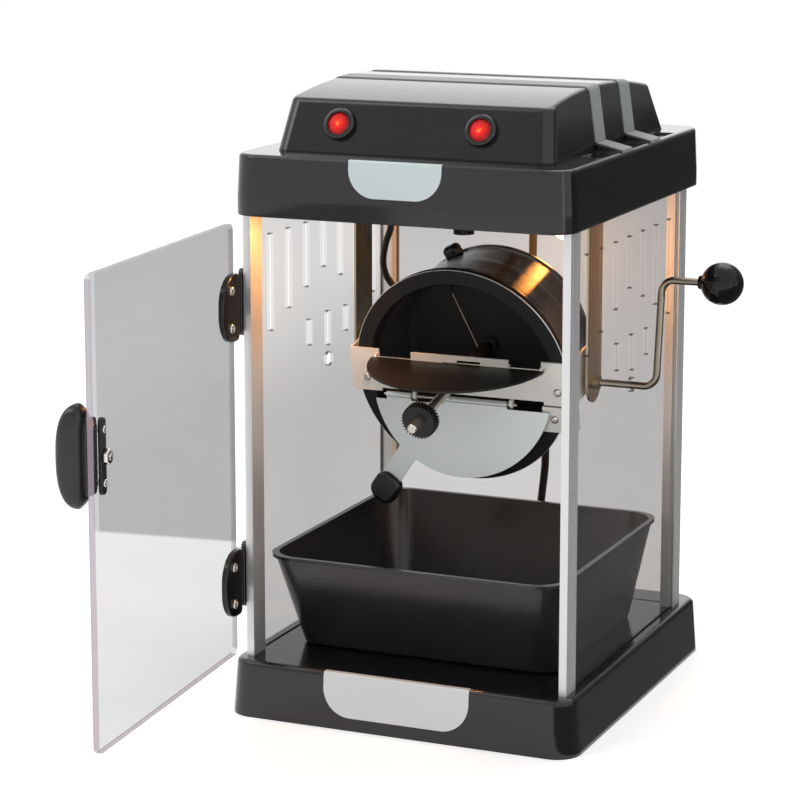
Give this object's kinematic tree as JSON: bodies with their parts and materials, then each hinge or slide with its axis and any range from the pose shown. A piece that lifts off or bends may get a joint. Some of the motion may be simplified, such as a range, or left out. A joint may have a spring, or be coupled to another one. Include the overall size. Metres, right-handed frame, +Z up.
{
  "type": "popcorn maker",
  "caption": "Table-top popcorn maker: glazed cabin on a black base, hinged clear door, tipping kettle with stirrer and lids on a cranked handle, loose tray, domed head with lit switches",
  "frame": {"origin": "middle of the base's underside, on the surface it stands on", "axes": "+Z up, -Y towards the door, +X towards the crank handle"},
  "size_m": [0.3236, 0.6498, 0.4413],
  "materials": {
    "black_shell": "gloss black moulded plastic",
    "black_trim": "black moulded plastic",
    "tray_black": "satin black plastic",
    "silver_trim": "silver painted trim",
    "post_aluminium": "satin anodised extrusion",
    "clear_pane": "clear sheet",
    "door_acrylic": "clear sheet with a faint violet edge",
    "sheet_steel": "bright steel sheet",
    "lid_steel": "satin steel",
    "chrome": "polished",
    "fasteners": "polished screws",
    "kettle_coating": "dark non-stick coating",
    "flap_glaze": "dark gloss sheet",
    "sleeve_white": "pale heat-proof plastic",
    "gear_black": "black moulded gear",
    "heater": "sheathed element",
    "red_lens": "lit red lens",
    "lamp_glass": "warm lamp",
    "lead_rubber": "black flexible sheath",
    "foot_rubber": "black rubber"
  },
  "bodies": {
    "cabinet": {"base_shell": "black_shell", "base_cover": "black_trim", "rubber_feet": "foot_rubber", "base_badge": "silver_trim", "front_posts": "post_aluminium", "rear_posts": "post_aluminium", "side_panes": "clear_pane", "rear_pane": "clear_pane", "head_frame": "black_shell", "head_lid": "black_shell", "head_stripes": "silver_trim", "head_badge": "silver_trim", "ceiling_plate": "sheet_steel", "cabinet_screws": "fasteners", "switch_bezels": "black_trim", "stir_motor": "heater", "lamp_holder": "black_trim", "lamp_bulb": "lamp_glass", "kettle_hangers": "sheet_steel", "hanger_bushes": "sleeve_white", "post_hinges": "black_trim", "hinge_pins": "chrome", "mains_relief": "lead_rubber", "mains_lead": "lead_rubber", "mains_coil": "lead_rubber", "coil_tie": "lead_rubber", "mains_plug": "lead_rubber", "kettle_socket": "lead_rubber", "kettle_lead": "lead_rubber"},
    "left_switch": {"left_switch_button": "red_lens"},
    "right_switch": {"right_switch_button": "red_lens"},
    "drive": {"drive_pinion": "gear_black", "motor_shaft": "chrome"},
    "kettle": {"kettle_bowl": "kettle_coating", "kettle_jacket": "kettle_coating", "kettle_rear_cover": "sheet_steel", "kettle_gland": "lead_rubber", "thermostat_cap": "black_trim", "heater_ring": "heater", "thermostat": "heater", "crossbar": "sheet_steel", "crossbar_screws": "fasteners", "lid_rods": "chrome", "trunnion_pin": "chrome", "crank_rod": "chrome", "crank_knob": "black_trim"},
    "flap": {"upper_flap": "flap_glaze", "flap_sleeve": "sleeve_white"},
    "lid": {"lower_lid": "lid_steel", "lid_grip": "black_trim"},
    "stirrer": {"stirrer_shaft": "chrome", "stirrer_gear": "gear_black", "stirrer_wire": "chrome"},
    "door": {"door_panel": "door_acrylic", "door_handle": "black_trim", "handle_plate": "black_trim", "door_screws": "fasteners", "door_hinges": "black_trim"},
    "tray": {"popcorn_tray": "tray_black"}
  },
  "joints": [
    {"name": "door_swing", "type": "hinge", "parent": "cabinet", "child": "door", "pos_m": [-0.123, -0.1335, 0.192], "axis": [0, 0, 1], "range_deg": [-30, 85.6]},
    {"name": "kettle_tilt", "type": "hinge", "parent": "cabinet", "child": "kettle", "pos_m": [0, 0.003, 0.2285], "axis": [1, 0, 0], "range_deg": [-103, 0], "deforming": ["kettle_lead"]},
    {"name": "flap_hinge", "type": "hinge", "parent": "kettle", "child": "flap", "pos_m": [0, -0.03188, 0.24087], "axis": [1, 0, 0], "range_deg": [-84.1, 0]},
    {"name": "lid_hinge", "type": "hinge", "parent": "kettle", "child": "lid", "pos_m": [0, -0.02438, 0.21284], "axis": [1, 0, 0], "range_deg": [-60, 13]},
    {"name": "stirrer_spin", "type": "hinge", "parent": "kettle", "child": "stirrer", "pos_m": [0, -0.0259, 0.23096], "axis": [0, -0.9744, -0.225], "continuous": true},
    {"name": "drive_spin", "type": "hinge", "parent": "cabinet", "child": "drive", "pos_m": [-0.018, 0.0223, 0.34], "axis": [0, 0, 1], "continuous": true},
    {"name": "left_switch_press", "type": "slide", "parent": "cabinet", "child": "left_switch", "axis": [0, 0.939, -0.3439], "range_m": [0, 0.0025], "stiffness_N_per_m": 500},
    {"name": "right_switch_press", "type": "slide", "parent": "cabinet", "child": "right_switch", "axis": [0, 0.939, -0.3439], "range_m": [0, 0.0025], "stiffness_N_per_m": 500},
    {"name": "tray_lift", "type": "slide", "parent": "cabinet", "child": "tray", "axis": [0, 0, 1], "range_m": [0, 0.015]}
  ]
}
